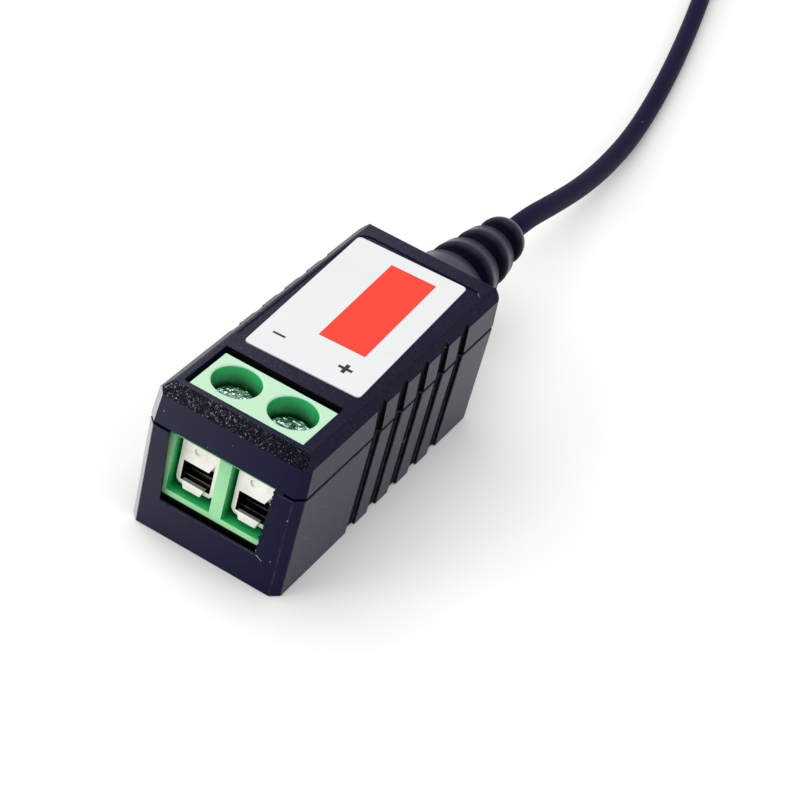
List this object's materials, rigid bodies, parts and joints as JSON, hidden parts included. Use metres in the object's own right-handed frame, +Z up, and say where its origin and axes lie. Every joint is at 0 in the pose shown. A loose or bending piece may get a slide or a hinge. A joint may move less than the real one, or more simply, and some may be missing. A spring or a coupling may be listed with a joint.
{
  "type": "cctv video balun",
  "caption": "Small black passive video balun with a green screw terminal in its front end and a short coaxial pigtail with a bayonet plug",
  "frame": {"origin": "Middle of the case's underside, without the strain relief, the pigtail and its plug.", "axes": "+X right seen from the terminals, +Y along the case to the cable's exit, +Z up out of the labelled side."},
  "size_m": [0.02, 0.2371, 0.0144],
  "materials": {
    "case_plastic": "fine spark-eroded grain on the brow, mild grain elsewhere",
    "label_film": "printed film",
    "terminal_plastic": "moulded polyamide",
    "screw_metal": "zinc plated",
    "cage_metal": "nickel plated, folded",
    "contact_metal": "tinned",
    "board": "solder mask",
    "ferrite": "sintered",
    "winding_wire": "enamelled copper",
    "component_plastic": "epoxy coated",
    "cable_jacket": "soft vinyl jacket",
    "relief_rubber": "moulded soft vinyl",
    "plug_metal": "nickel plated brass",
    "plug_insulation": "turned fluoropolymer",
    "pin_metal": "gold plated"
  },
  "bodies": {
    "balun": {"bottom_case": "case_plastic", "top_cover": "case_plastic", "label": "label_film", "terminal_housing": "terminal_plastic", "contact_bar_left": "contact_metal", "contact_bar_right": "contact_metal", "circuit_board": "board", "ferrite_core": "ferrite", "winding_line": "winding_wire", "winding_coax": "winding_wire", "surge_suppressor": "component_plastic", "resistor": "component_plastic", "capacitor": "component_plastic", "core_wire": "winding_wire", "screen_wire": "winding_wire", "cable_in_relief": "cable_jacket", "strain_relief": "relief_rubber", "cable": "cable_jacket", "cable_in_plug": "cable_jacket", "plug_grip": "relief_rubber", "plug_shell": "plug_metal", "plug_insulator": "plug_insulation", "plug_pin": "pin_metal", "plug_gasket": "relief_rubber", "spring_washer": "plug_metal"},
    "screw_left": {"clamp_screw_left": "screw_metal"},
    "screw_right": {"clamp_screw_right": "screw_metal"},
    "cage_left": {"wire_cage_left": "cage_metal"},
    "cage_right": {"wire_cage_right": "cage_metal"},
    "ring": {"coupling_ring": "plug_metal"}
  },
  "joints": [
    {"name": "screw_left_turn", "type": "hinge", "parent": "balun", "child": "screw_left", "pos_m": [-0.00254, -0.0108, 0.0105], "axis": [0, 0, -1], "range_deg": [-160, 960]},
    {"name": "screw_right_turn", "type": "hinge", "parent": "balun", "child": "screw_right", "pos_m": [0.00254, -0.0108, 0.0105], "axis": [0, 0, -1], "range_deg": [-160, 960]},
    {"name": "cage_left_lift", "type": "slide", "parent": "balun", "child": "cage_left", "axis": [0, 0, 1], "range_m": [-0.0002, 0.0012]},
    {"name": "cage_right_lift", "type": "slide", "parent": "balun", "child": "cage_right", "axis": [0, 0, 1], "range_m": [-0.0002, 0.0012]},
    {"name": "ring_turn", "type": "hinge", "parent": "balun", "child": "ring", "pos_m": [-0.0058, 0.2145, 0.0072], "axis": [0, 1, 0], "continuous": true}
  ],
  "couplings": [
    {"joint": "screw_left_turn", "follows": "cage_left_lift", "rad_per_m": 13963},
    {"joint": "screw_right_turn", "follows": "cage_right_lift", "rad_per_m": 13963}
  ]
}
